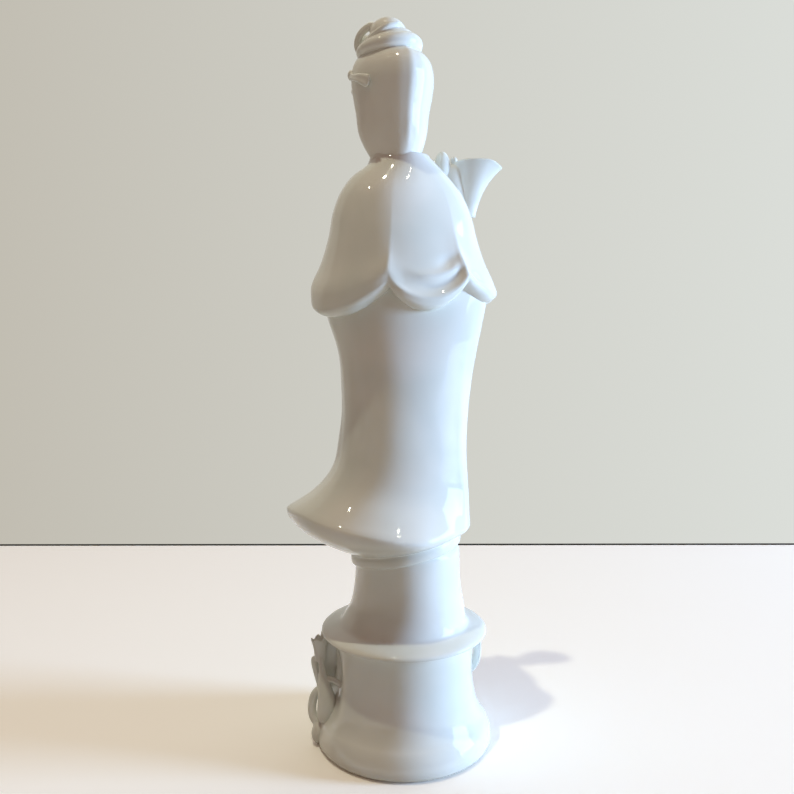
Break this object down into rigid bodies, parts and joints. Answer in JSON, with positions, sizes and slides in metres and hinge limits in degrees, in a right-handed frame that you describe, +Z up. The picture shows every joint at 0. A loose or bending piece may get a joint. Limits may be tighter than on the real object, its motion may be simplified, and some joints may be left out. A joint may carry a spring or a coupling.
{
  "type": "standing guanyin figure",
  "caption": "Standing guanyin in white glazed porcelain, cast in one with its waisted two-tier plinth; robe, wide sleeves, lotus stem in both hands.",
  "frame": {"origin": "centre of the plinth's underside, on the surface it stands on", "axes": "+Z up along the height; the figure faces -Y; +X is towards its left"},
  "size_m": [0.0969, 0.0776, 0.31],
  "materials": {
    "glaze": "clear glossy glaze over white porcelain"
  },
  "bodies": {
    "root": {"guanyin_figure": "glaze"}
  },
  "joints": []
}
